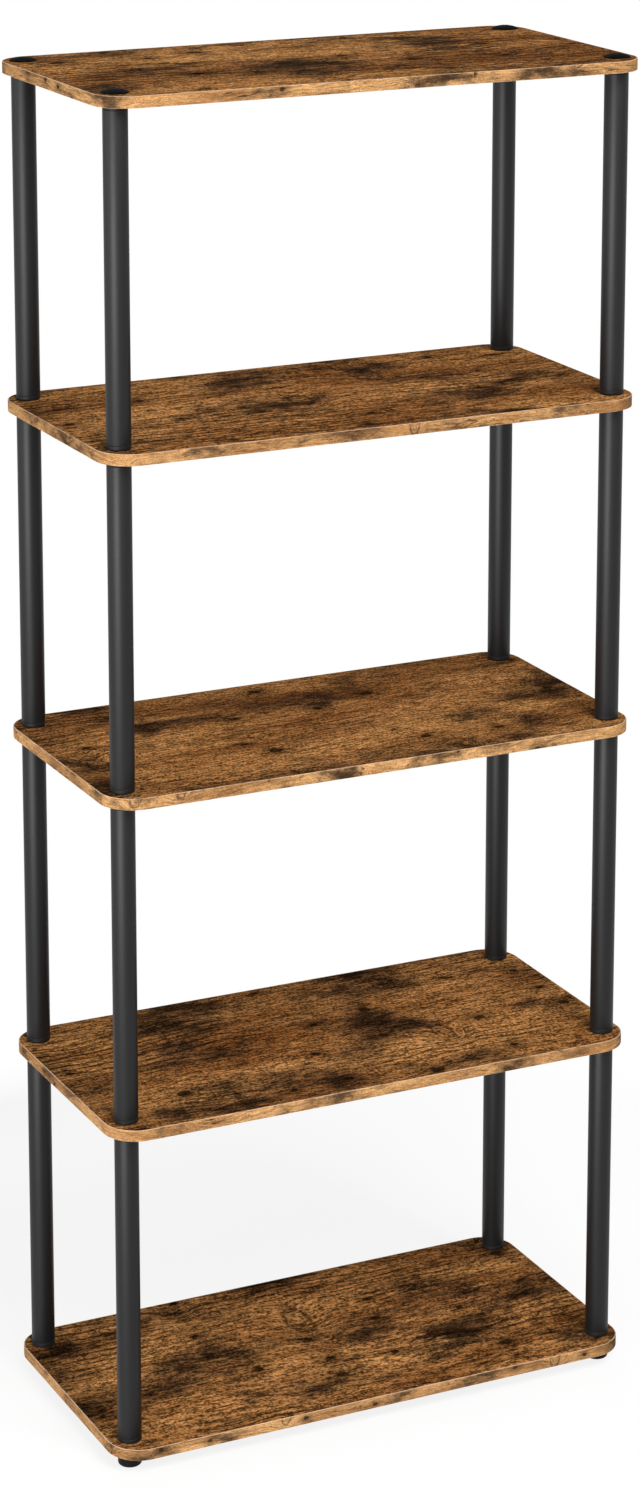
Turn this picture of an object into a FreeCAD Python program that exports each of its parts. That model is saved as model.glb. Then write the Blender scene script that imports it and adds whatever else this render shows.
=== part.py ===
"""Tall shelving unit: five boards clamped on four columns of steel tubes.

The unit stands on z = 0 and is centred on the origin, with its long side along X
and its front towards -Y. Every tube has a stud plug below and a socket plug above.
A stud passes through a hole in a board and screws into the socket or foot under it,
so each board is clamped between the collars of two tubes.
Threads are plain cylinders with a named clearance.
"""
import FreeCAD
import Part
import Sketcher
import os

TIERS = 4

# All lengths are millimetres. Clearances are radial.
SIZES = {
    # Boards and their edge bands
    "board_length": 600.0,
    "board_depth": 300.0,
    "board_thickness": 12.0,
    "corner_radius": 36.0,
    "band_thickness": 1.0,
    "band_round": 0.6,
    "band_seam": 0.4,
    # Columns
    "tube_inset_x": 22.5,
    "tube_inset_y": 30.0,
    "clear_height": 340.0,
    "tube_diameter": 25.0,
    "tube_wall": 1.0,
    # Plugs in the tube ends
    "plug_depth": 28.0,
    "plug_clearance": 0.1,
    "socket_collar": 4.0,
    "stud_collar": 5.0,
    "collar_round": 1.5,
    # Screwed studs
    "stud_diameter": 10.0,
    "stud_chamfer": 1.0,
    "thread_clearance": 0.15,
    "hole_clearance": 0.4,
    "socket_spare": 3.0,
    # Top caps
    "cap_diameter": 28.0,
    "cap_height": 4.0,
    "cap_rim": 1.2,
    # Feet and the pads under them
    "foot_diameter": 25.0,
    "foot_height": 16.0,
    "foot_round": 3.0,
    "foot_floor": 1.5,
    "foot_spare": 0.5,
    "pad_diameter": 17.0,
    "pad_thickness": 3.0,
    "pad_proud": 1.0,
    "pad_clearance": 0.1,
}

DERIVED = {
    "core_radius": "corner_radius - band_thickness",
    "corner_x": "board_length / 2 - corner_radius",
    "corner_y": "board_depth / 2 - corner_radius",
    "band_back": "board_depth / 2",
    "band_inside": "board_depth / 2 - band_thickness",
    "seam_side": "band_seam / 2",
    "tier_pitch": "clear_height + board_thickness",
    "tube_x": "board_length / 2 - tube_inset_x",
    "tube_y": "board_depth / 2 - tube_inset_y",
    "spacing_x": "2 * tube_x",
    "spacing_y": "2 * tube_y",
    "tube_radius": "tube_diameter / 2",
    "tube_bore": "tube_radius - tube_wall",
    "tube_length": "clear_height - stud_collar - socket_collar",
    "plug_radius": "tube_bore - plug_clearance",
    "stud_radius": "stud_diameter / 2",
    "stud_tip": "stud_radius - stud_chamfer",
    "foot_web": "pad_thickness + foot_floor",
    "stud_reach": "foot_height - foot_web - foot_spare",
    "stud_length": "board_thickness + stud_reach",
    "stud_shank": "stud_length - stud_chamfer",
    "thread_bore": "stud_radius + thread_clearance",
    "board_hole": "stud_radius + hole_clearance",
    "collar_flat": "tube_radius - collar_round",
    "stud_plug_top": "stud_collar + plug_depth",
    "socket_depth": "stud_reach + socket_spare",
    "socket_plug_end": "socket_collar + plug_depth",
    "cap_radius": "cap_diameter / 2",
    "foot_radius": "foot_diameter / 2",
    "foot_flat": "foot_radius - foot_round",
    "foot_side": "pad_proud + foot_round",
    "pad_radius": "pad_diameter / 2",
    "pad_recess": "pad_radius + pad_clearance",
}

# The side of the middle on which each column stands, along X and along Y.
CORNERS = {
    "left_front": (-1, -1),
    "right_front": (1, -1),
    "left_back": (-1, 1),
    "right_back": (1, 1),
}

# How a sketch numbers its own axes, and the points of a line or an arc.
ACROSS_AXIS, UP_AXIS = range(-1, -3, -1)
START, END, CENTRE = range(1, 4)

doc = FreeCAD.newDocument("ShelvingUnit")
nodes = []


def fill_sheet():
    """Writes the driving and the derived sizes to a sheet with one alias per size."""
    sheet = doc.addObject("Spreadsheet::Sheet", "Sizes")
    cells = [(name, str(value)) for name, value in SIZES.items()]
    cells += [(name, f"={formula}") for name, formula in DERIVED.items()]
    for row, (name, content) in enumerate(cells, start=1):
        sheet.set(f"A{row}", name)
        sheet.set(f"B{row}", content)
        sheet.setAlias(f"B{row}", name)
    doc.recompute()
    return sheet


sizes = fill_sheet()


def size(name):
    """Value of a size, which is zero for None and negative for a name after a minus sign."""
    if name is None:
        return 0.0
    value = float(sizes.get(name.lstrip("-")))
    return -value if name.startswith("-") else value


def formula(name):
    """Expression that reads a size, with the same minus sign."""
    sign = "-" if name.startswith("-") else ""
    return f"{sign}Sizes.{name.lstrip('-')}"


def add_body(label):
    """Starts the body of one piece."""
    body = doc.addObject("PartDesign::Body", label)
    body.Label = label
    nodes.append(body)
    return body


def origin_feature(body, role):
    """Plane or axis of a body's own origin."""
    return next(feature for feature in body.Origin.OriginFeatures if feature.Role == role)


def add_sketch(body, plane, name):
    """Adds an empty sketch on one of the body's origin planes."""
    sketch = body.newObject("Sketcher::SketchObject", name)
    sketch.AttachmentSupport = [(origin_feature(body, plane), "")]
    sketch.MapMode = "FlatFace"
    return sketch


def bind(sketch, constraint, name):
    """Adds a sketch constraint whose value follows a size."""
    index = sketch.addConstraint(constraint)
    sketch.setExpression(f"Constraints[{index}]", formula(name))


def pin(sketch, geometry, point, across, up):
    """Fixes a sketch point by two sizes, where None puts it on the sketch's axis."""
    for kind, name, axis in (("DistanceX", across, UP_AXIS), ("DistanceY", up, ACROSS_AXIS)):
        if name is None:
            sketch.addConstraint(Sketcher.Constraint("PointOnObject", geometry, point, axis))
        else:
            distance = Sketcher.Constraint(kind, -1, START, geometry, point, size(name))
            bind(sketch, distance, name)


def arc_between(start, end, centre_x):
    """Anticlockwise arc between two points, with its centre at a given x."""
    drop = (end.x - centre_x) ** 2 + end.y ** 2 - (start.x - centre_x) ** 2 - start.y ** 2
    centre = FreeCAD.Vector(centre_x, drop / (2 * (end.y - start.y)), 0)
    circle = Part.Circle(centre, FreeCAD.Vector(0, 0, 1), (start - centre).Length)
    return Part.ArcOfCircle(circle, circle.parameter(start), circle.parameter(end))


def draw_outline(sketch, points, arcs=None):
    """Draws a closed outline, anticlockwise, through points given by pairs of sizes.

    arcs maps the number of a stretch that is an arc to the size that places its centre
    across the sketch. Every other stretch is a straight line.
    """
    arcs = arcs or {}
    places = [FreeCAD.Vector(size(across), size(up), 0) for across, up in points]
    for number, place in enumerate(places):
        following = places[(number + 1) % len(places)]
        if number in arcs:
            sketch.addGeometry(arc_between(place, following, size(arcs[number])))
        else:
            sketch.addGeometry(Part.LineSegment(place, following))
    for number, (across, up) in enumerate(points):
        following = (number + 1) % len(points)
        sketch.addConstraint(Sketcher.Constraint("Coincident", number, END, following, START))
        pin(sketch, number, START, across, up)
    for number, name in arcs.items():
        if name is None:
            sketch.addConstraint(Sketcher.Constraint("PointOnObject", number, CENTRE, UP_AXIS))
        else:
            distance = Sketcher.Constraint("DistanceX", -1, START, number, CENTRE, size(name))
            bind(sketch, distance, name)


def draw_rounded_board(sketch, radius):
    """Draws the board's outline with round corners; every outline shares the corner centres."""
    reach = size(radius)
    x, y = size("corner_x"), size("corner_y")
    first = sketch.GeometryCount
    normal = FreeCAD.Vector(0, 0, 1)
    quarter = FreeCAD.Units.parseQuantity("90 deg").getValueAs("rad").Value
    for number, (side_x, side_y) in enumerate(((1, 1), (-1, 1), (-1, -1), (1, -1))):
        centre = FreeCAD.Vector(side_x * x, side_y * y, 0)
        circle = Part.Circle(centre, normal, reach)
        arc = Part.ArcOfCircle(circle, number * quarter, (number + 1) * quarter)
        sketch.addGeometry(arc)
    arcs = list(range(first, first + 4))
    for number, arc in enumerate(arcs):
        here = sketch.Geometry[arc].EndPoint
        there = sketch.Geometry[arcs[(number + 1) % 4]].StartPoint
        sketch.addGeometry(Part.LineSegment(here, there))
    for number, arc in enumerate(arcs):
        line = first + 4 + number
        following = arcs[(number + 1) % 4]
        sketch.addConstraint(Sketcher.Constraint("Tangent", arc, END, line, START))
        sketch.addConstraint(Sketcher.Constraint("Tangent", line, END, following, START))
        direction = "Horizontal" if number % 2 == 0 else "Vertical"
        sketch.addConstraint(Sketcher.Constraint(direction, line))
    for arc in arcs[1:]:
        sketch.addConstraint(Sketcher.Constraint("Equal", arcs[0], arc))
    bind(sketch, Sketcher.Constraint("Radius", arcs[0], reach), radius)
    pin(sketch, arcs[0], CENTRE, "corner_x", "corner_y")
    pin(sketch, arcs[2], CENTRE, "-corner_x", "-corner_y")


def draw_circle(sketch, radius):
    """Draws a circle about the sketch's origin."""
    middle = FreeCAD.Vector(0, 0, 0)
    index = sketch.addGeometry(Part.Circle(middle, FreeCAD.Vector(0, 0, 1), size(radius)))
    sketch.addConstraint(Sketcher.Constraint("Coincident", index, CENTRE, -1, START))
    bind(sketch, Sketcher.Constraint("Radius", index, size(radius)), radius)


def pad_up(body, sketch, length):
    """Pads a sketch upwards by a size."""
    pad = body.newObject("PartDesign::Pad", "Pad")
    pad.Profile = sketch
    pad.setExpression("Length", formula(length))
    return pad


def cut_up(body, sketch):
    """Cuts a sketch upwards through everything, and makes sure that it met the solid."""
    doc.recompute()
    before = body.Shape.Volume
    pocket = body.newObject("PartDesign::Pocket", "Pocket")
    pocket.Profile = sketch
    pocket.Type = "ThroughAll"
    pocket.Reversed = True
    doc.recompute()
    if body.Shape.Volume >= before:
        raise RuntimeError(f"{body.Label}: a cut met nothing")
    return pocket


def turn(body, points, arcs=None):
    """Turns a half section about the body's upright axis."""
    sketch = add_sketch(body, "XZ_Plane", "Section")
    draw_outline(sketch, points, arcs)
    solid = body.newObject("PartDesign::Revolution", "Revolution")
    solid.Profile = sketch
    solid.ReferenceAxis = (sketch, ["V_Axis"])
    solid.Angle = 360
    return solid


def repeat_at_columns(body, feature):
    """Repeats a feature made at the left front column at the other three."""
    doc.recompute()
    group = body.newObject("PartDesign::MultiTransform", "Columns")
    steps = []
    for role, name in (("X_Axis", "spacing_x"), ("Y_Axis", "spacing_y")):
        pattern = doc.addObject("PartDesign::LinearPattern", "Pattern")
        body.addObject(pattern)
        pattern.Direction = (origin_feature(body, role), [""])
        pattern.setExpression("Length", formula(name))
        pattern.Occurrences = 2
        steps.append(pattern)
    group.Originals = [feature]
    group.Transformations = steps
    body.Tip = group


def board_level(number):
    """Expression for the height of a board's underside, counted from 0 at the bottom."""
    return f"Sizes.foot_height + {number} * Sizes.tier_pitch"


def place(body, corner=None, height=None):
    """Moves a piece to a column and to a height, both by expressions."""
    if corner is not None:
        for axis, side in zip("xy", CORNERS[corner]):
            body.setExpression(f"Placement.Base.{axis}", f"{side} * Sizes.tube_{axis}")
    if height is not None:
        body.setExpression("Placement.Base.z", height)


def make_board(number):
    """Faced particleboard with a hole for each column."""
    body = add_body(f"shelf_board_{number + 1}")
    outline = add_sketch(body, "XY_Plane", "Outline")
    draw_rounded_board(outline, "core_radius")
    pad_up(body, outline, "board_thickness")
    hole = add_sketch(body, "XY_Plane", "ColumnHole")
    index = hole.addGeometry(
        Part.Circle(
            FreeCAD.Vector(-size("tube_x"), -size("tube_y"), 0),
            FreeCAD.Vector(0, 0, 1),
            size("board_hole"),
        )
    )
    pin(hole, index, CENTRE, "-tube_x", "-tube_y")
    bind(hole, Sketcher.Constraint("Radius", index, size("board_hole")), "board_hole")
    repeat_at_columns(body, cut_up(body, hole))
    place(body, height=board_level(number))


def outer_rims(shape):
    """Names of the edges round the top and bottom of a band's outside."""
    half_length, half_depth = size("board_length") / 2, size("board_depth") / 2
    corner = FreeCAD.Vector(size("corner_x"), size("corner_y"), 0)
    near = size("band_thickness") / 2
    names = []
    for number, edge in enumerate(shape.Edges, start=1):
        middle = edge.valueAt((edge.FirstParameter + edge.LastParameter) / 2)
        upright = edge.BoundBox.ZLength > near
        folded = FreeCAD.Vector(abs(middle.x), abs(middle.y), 0)
        past = folded - corner
        if past.x > 0 and past.y > 0:
            depth_in = size("corner_radius") - past.Length
        else:
            depth_in = min(half_length - folded.x, half_depth - folded.y)
        if not upright and depth_in < near:
            names.append(f"Edge{number}")
    return names


def make_band(number):
    """Edge band wrapped round a board, with its butt seam in the middle of the back."""
    body = add_body(f"edge_band_{number + 1}")
    outline = add_sketch(body, "XY_Plane", "Outline")
    draw_rounded_board(outline, "corner_radius")
    draw_rounded_board(outline, "core_radius")
    pad = pad_up(body, outline, "board_thickness")
    doc.recompute()
    rims = body.newObject("PartDesign::Fillet", "Rims")
    rims.Base = (pad, outer_rims(pad.Shape))
    rims.setExpression("Radius", formula("band_round"))
    seam = add_sketch(body, "XY_Plane", "Seam")
    corners = [("-seam_side", "band_inside"), ("seam_side", "band_inside")]
    corners += [("seam_side", "band_back"), ("-seam_side", "band_back")]
    draw_outline(seam, corners)
    cut_up(body, seam)
    place(body, height=board_level(number))


def make_tube(corner, tier):
    """Steel tube between the collars of its two plugs."""
    body = add_body(f"tube_{corner}_{tier + 1}")
    ring = add_sketch(body, "XY_Plane", "Ring")
    draw_circle(ring, "tube_radius")
    draw_circle(ring, "tube_bore")
    pad_up(body, ring, "tube_length")
    place(body, corner, f"{board_level(tier)} + Sizes.board_thickness + Sizes.stud_collar")


def make_stud_plugs(tier):
    """Plugs in the lower ends of one tier's tubes, with studs that go through the board."""
    body = add_body(f"stud_plugs_{tier + 1}")
    section = [
        (None, "-stud_length"),
        ("stud_tip", "-stud_length"),
        ("stud_radius", "-stud_shank"),
        ("stud_radius", None),
        ("collar_flat", None),
        ("tube_radius", "collar_round"),
        ("tube_radius", "stud_collar"),
        ("plug_radius", "stud_collar"),
        ("plug_radius", "stud_plug_top"),
        (None, "stud_plug_top"),
    ]
    collar_edge = section.index(("collar_flat", None))
    repeat_at_columns(body, turn(body, section, {collar_edge: "collar_flat"}))
    place(body, "left_front", f"{board_level(tier)} + Sizes.board_thickness")


def make_socket_plugs(tier):
    """Plugs in the upper ends of one tier's tubes, each with a socket for a stud."""
    body = add_body(f"socket_plugs_{tier + 1}")
    section = [
        (None, "-socket_plug_end"),
        ("plug_radius", "-socket_plug_end"),
        ("plug_radius", "-socket_collar"),
        ("tube_radius", "-socket_collar"),
        ("tube_radius", None),
        ("thread_bore", None),
        ("thread_bore", "-socket_depth"),
        (None, "-socket_depth"),
    ]
    repeat_at_columns(body, turn(body, section))
    place(body, "left_front", board_level(tier + 1))


def make_cap(corner):
    """Low domed cap whose stud clamps the top board to its column."""
    body = add_body(f"cap_{corner}")
    section = [
        (None, "-stud_length"),
        ("stud_tip", "-stud_length"),
        ("stud_radius", "-stud_shank"),
        ("stud_radius", None),
        ("cap_radius", None),
        ("cap_radius", "cap_rim"),
        (None, "cap_height"),
    ]
    dome = section.index(("cap_radius", "cap_rim"))
    turn(body, section, {dome: None})
    place(body, corner, f"{board_level(TIERS)} + Sizes.board_thickness")


def make_foot(corner):
    """Screwed foot with a bore for the lowest stud and a recess for its pad."""
    body = add_body(f"foot_{corner}")
    section = [
        (None, "pad_thickness"),
        ("pad_recess", "pad_thickness"),
        ("pad_recess", "pad_proud"),
        ("foot_flat", "pad_proud"),
        ("foot_radius", "foot_side"),
        ("foot_radius", "foot_height"),
        ("thread_bore", "foot_height"),
        ("thread_bore", "foot_web"),
        (None, "foot_web"),
    ]
    bottom_edge = section.index(("foot_flat", "pad_proud"))
    turn(body, section, {bottom_edge: "foot_flat"})
    place(body, corner)


def make_pad(corner):
    """Anti-slip disc on which a foot turns."""
    pad = doc.addObject("Part::Cylinder", f"foot_pad_{corner}")
    pad.Label = f"foot_pad_{corner}"
    pad.setExpression("Radius", formula("pad_radius"))
    pad.setExpression("Height", formula("pad_thickness"))
    place(pad, corner)
    nodes.append(pad)


def check_document():
    """Stops if any object failed or any piece has no valid solid."""
    for item in doc.Objects:
        if "Invalid" in item.State or "Error" in item.State:
            raise RuntimeError(f"{item.Label}: {item.State}")
    for node in nodes:
        if node.Shape.isNull() or not node.Shape.isValid() or not node.Shape.Solids:
            raise RuntimeError(f"{node.Label}: no valid solid")


def write_nodes():
    """Writes each piece to its own file."""
    os.makedirs("parts", exist_ok=True)
    for node in nodes:
        node.Shape.exportStep(f"parts/{node.Label}.step")


for level in range(TIERS + 1):
    make_board(level)
    make_band(level)
for level in range(TIERS):
    make_stud_plugs(level)
    make_socket_plugs(level)
    for column in CORNERS:
        make_tube(column, level)
for column in CORNERS:
    make_cap(column)
    make_foot(column)
    make_pad(column)
doc.recompute()
check_document()
write_nodes()
print(f"{len(nodes)} pieces written")
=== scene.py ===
"""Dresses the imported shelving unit: wood-print boards on columns of black tubes.

Every piece is built in the row frame, in metres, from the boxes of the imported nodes, and
rides on the body of the node that it stands for.
"""
from __future__ import annotations

import logging
import math
from dataclasses import dataclass, field
from enum import Enum

import bpy
from mathutils import Euler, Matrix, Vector
from mathutils.geometry import tessellate_polygon

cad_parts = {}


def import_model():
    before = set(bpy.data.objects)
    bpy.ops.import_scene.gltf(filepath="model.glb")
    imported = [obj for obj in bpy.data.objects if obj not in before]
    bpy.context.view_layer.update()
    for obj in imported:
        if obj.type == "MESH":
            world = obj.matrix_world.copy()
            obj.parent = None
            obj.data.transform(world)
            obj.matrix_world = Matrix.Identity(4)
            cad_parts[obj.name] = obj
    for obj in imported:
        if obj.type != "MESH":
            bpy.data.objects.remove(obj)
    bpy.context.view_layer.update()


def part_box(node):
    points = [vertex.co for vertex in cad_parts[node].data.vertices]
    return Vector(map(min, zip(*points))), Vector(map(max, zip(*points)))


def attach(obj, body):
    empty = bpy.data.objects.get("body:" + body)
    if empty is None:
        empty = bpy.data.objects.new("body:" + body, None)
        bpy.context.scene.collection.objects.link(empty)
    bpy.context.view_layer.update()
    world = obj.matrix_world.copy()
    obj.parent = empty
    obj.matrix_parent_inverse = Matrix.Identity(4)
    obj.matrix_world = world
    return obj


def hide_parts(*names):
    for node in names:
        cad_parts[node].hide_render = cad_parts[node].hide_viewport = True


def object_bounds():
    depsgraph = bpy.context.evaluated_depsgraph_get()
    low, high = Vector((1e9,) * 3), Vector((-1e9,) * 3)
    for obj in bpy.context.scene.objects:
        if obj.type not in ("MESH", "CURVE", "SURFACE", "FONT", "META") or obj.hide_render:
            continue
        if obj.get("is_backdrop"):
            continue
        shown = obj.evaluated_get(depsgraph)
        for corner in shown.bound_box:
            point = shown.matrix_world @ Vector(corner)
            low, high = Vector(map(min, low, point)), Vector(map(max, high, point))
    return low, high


LOG = logging.getLogger("shelving_unit")
TIERS = 4
UNIT_BODY = "unit"

# Layers of values on a mesh, which the materials read.
PLACE_LAYER = "print_place"
EDGE_LAYER = "edge"

# Steps of a turned piece round its axis, and angles in degrees.
TURNED_STEPS = 64
SHARP_ANGLE = 32.0
QUARTER_TURN = 90.0

Triple = tuple[float, float, float]
Span = tuple[float, float]
Colour = Triple
Box = tuple[Vector, Vector]
Socket = bpy.types.NodeSocket

WHITE: Colour = (1.0, 1.0, 1.0)
BLACK: Colour = (0.004, 0.004, 0.0042)


class Corner(Enum):
    """The four columns, by the place where they stand."""

    LEFT_FRONT = "left_front"
    RIGHT_FRONT = "right_front"
    LEFT_BACK = "left_back"
    RIGHT_BACK = "right_back"


class Slot(Enum):
    """Material slots of the record."""

    BOARD = "board"
    BAND = "edge_band"
    TUBE = "tube"
    PLUG = "plug"
    CAP = "cap"
    FOOT = "foot"
    PAD = "pad"


@dataclass(frozen=True)
class Noise:
    """One kind of fractal noise.

    Attributes:
        spread: Features per metre on each axis.
        detail: Number of finer layers.
        rough: Strength of each finer layer against the one before it.
    """

    spread: Triple
    detail: float = 3.0
    rough: float = 0.55


class NodeSheet:
    """Adds nodes to a shader tree and hands back their output sockets."""

    # Mean of every noise.
    MIDDLE = 0.5

    def __init__(self, tree: bpy.types.NodeTree) -> None:
        """Keeps the tree to which the nodes go."""
        self.tree = tree

    @classmethod
    def cleared(cls, owner: bpy.types.Material | bpy.types.World) -> NodeSheet:
        """Empties the nodes of a material or of a world.

        Args:
            owner: Material or world that gets new nodes.

        Returns:
            A sheet that adds nodes to it.
        """
        owner.use_nodes = True
        owner.node_tree.nodes.clear()
        return cls(owner.node_tree)

    def add(self, kind: str, inputs: dict | None = None, **settings: object) -> bpy.types.Node:
        """Adds one node.

        Args:
            kind: Blender's name of the node type.
            inputs: Values or sockets for the node's inputs, by name or number.
            settings: Properties of the node itself.

        Returns:
            The new node.
        """
        node = self.tree.nodes.new(kind)
        for name, value in settings.items():
            setattr(node, name, value)
        for key, value in (inputs or {}).items():
            self.feed(node.inputs[key], value)
        return node

    def feed(self, target: Socket, value: object) -> None:
        """Links a socket to an input, or sets a plain value on it.

        Args:
            target: Input of a node.
            value: Socket, number or colour for it.
        """
        if isinstance(value, Socket):
            self.tree.links.new(value, target)
        else:
            target.default_value = value

    def math(self, operation: str, first: object, second: object = 0.0, clamp: bool = False) -> Socket:
        """Combines two values by one of Blender's operations, held between 0 and 1 on request."""
        values = {0: first, 1: second}
        return self.add("ShaderNodeMath", values, operation=operation, use_clamp=clamp).outputs[0]

    def times(self, first: object, second: object) -> Socket:
        """Product of two values."""
        return self.math("MULTIPLY", first, second)

    def plus(self, first: object, second: object) -> Socket:
        """Sum of two values."""
        return self.math("ADD", first, second)

    def minus(self, first: object, second: object) -> Socket:
        """Difference of two values."""
        return self.math("SUBTRACT", first, second)

    def larger(self, first: object, second: object) -> Socket:
        """Larger one of two values."""
        return self.math("MAXIMUM", first, second)

    def stretch(self, vector: Socket, factors: Triple) -> Socket:
        """Multiplies a vector by a factor per axis."""
        return self.add("ShaderNodeVectorMath", {0: vector, 1: factors}, operation="MULTIPLY").outputs[0]

    def toned(self, colour: Socket, tone: Socket) -> Socket:
        """Multiplies a colour by a tone."""
        return self.add("ShaderNodeVectorMath", {0: colour, "Scale": tone}, operation="SCALE").outputs[0]

    def noise(self, place: Socket, kind: Noise) -> Socket:
        """Adds fractal noise.

        Args:
            place: Place at which it is read, in metres.
            kind: Kind of noise.

        Returns:
            The noise, from 0 to 1.
        """
        values = {"Vector": self.stretch(place, kind.spread), "Scale": 1.0}
        values |= {"Detail": kind.detail, "Roughness": kind.rough}
        return self.add("ShaderNodeTexNoise", values).outputs[0]

    def swing(self, place: Socket, kind: Noise) -> Socket:
        """Fractal noise that swings about zero."""
        return self.minus(self.noise(place, kind), self.MIDDLE)

    def layered(self, place: Socket, coarse: Noise, fine: Noise, share: float) -> Socket:
        """Adds two kinds of noise to each other.

        Args:
            place: Place at which they are read, in metres.
            coarse: First kind of noise.
            fine: Second kind of noise.
            share: Share of the second kind.

        Returns:
            Their weighted sum, from 0 to 1.
        """
        first = self.times(self.noise(place, coarse), 1.0 - share)
        second = self.times(self.noise(place, fine), share)
        return self.plus(first, second)

    def ramp(self, value: Socket, span: Span) -> Socket:
        """Mask with a smooth step from 0 to 1 over a span, which may run up or down."""
        values = {"Value": value, "From Min": span[0], "From Max": span[1]}
        return self.add("ShaderNodeMapRange", values, interpolation_type="SMOOTHSTEP").outputs[0]

    def mapped(self, value: Socket, target: Span, source: Span = (0.0, 1.0)) -> Socket:
        """Maps one range of values on another one in a straight line.

        Args:
            value: Value that is mapped.
            target: Ends of the new range.
            source: Ends of the old range.

        Returns:
            The mapped value, held inside the new range.
        """
        values = {"Value": value, "From Min": source[0], "From Max": source[1]}
        values |= {"To Min": target[0], "To Max": target[1]}
        return self.add("ShaderNodeMapRange", values).outputs[0]

    def contour(self, value: Socket, level: float, width: float) -> Socket:
        """Mask of a thin line where a field crosses a level, faded out at a width from it."""
        away = self.math("ABSOLUTE", self.minus(value, level))
        return self.ramp(away, (width, 0.0))

    def blend(self, factor: object, first: object, second: object) -> Socket:
        """Mixes two colours, with the share of the second one as the factor."""
        # The node has sockets for every type of value. Inputs 6 and 7 and output 2 are the colours.
        values = {0: factor, 6: as_rgba(first), 7: as_rgba(second)}
        return self.add("ShaderNodeMix", values, data_type="RGBA").outputs[2]


def as_rgba(colour: object) -> object:
    """Adds a full alpha to a plain colour, and leaves a socket as it is."""
    return (*colour, 1.0) if isinstance(colour, tuple) else colour


def new_group(
    name: str, inputs: dict[str, str], outputs: dict[str, str]
) -> tuple[bpy.types.NodeTree, NodeSheet]:
    """Starts a shader node group.

    Args:
        name: Name of the group.
        inputs: Socket type of each input, by name.
        outputs: Socket type of each output, by name.

    Returns:
        The group and a sheet that adds nodes to it.
    """
    group = bpy.data.node_groups.new(name, "ShaderNodeTree")
    for side, sockets in (("INPUT", inputs), ("OUTPUT", outputs)):
        for label, kind in sockets.items():
            group.interface.new_socket(name=label, in_out=side, socket_type=f"NodeSocket{kind}")
    return group, NodeSheet(group)


@dataclass(frozen=True)
class KnotKind:
    """One kind of knot that is scattered over the print, one to a cell.

    Attributes:
        spread: Cells per metre on each axis.
        least: Reach of the smallest knot, in cells.
        extra: How much farther the largest knot reaches, in cells.
        empty: Share of the cells that have no knot.
    """

    spread: Triple
    least: float
    extra: float
    empty: float


@dataclass(frozen=True)
class CrackKind:
    """One kind of crack in the print.

    Attributes:
        course: Noise whose contour is the crack.
        level: Level of that contour.
        width: Width of that contour.
        patches: Noise that decides where there are cracks.
        patch_span: Values of that noise between which the cracks come in.
    """

    course: Noise
    level: float
    width: float
    patches: Noise
    patch_span: Span


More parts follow.
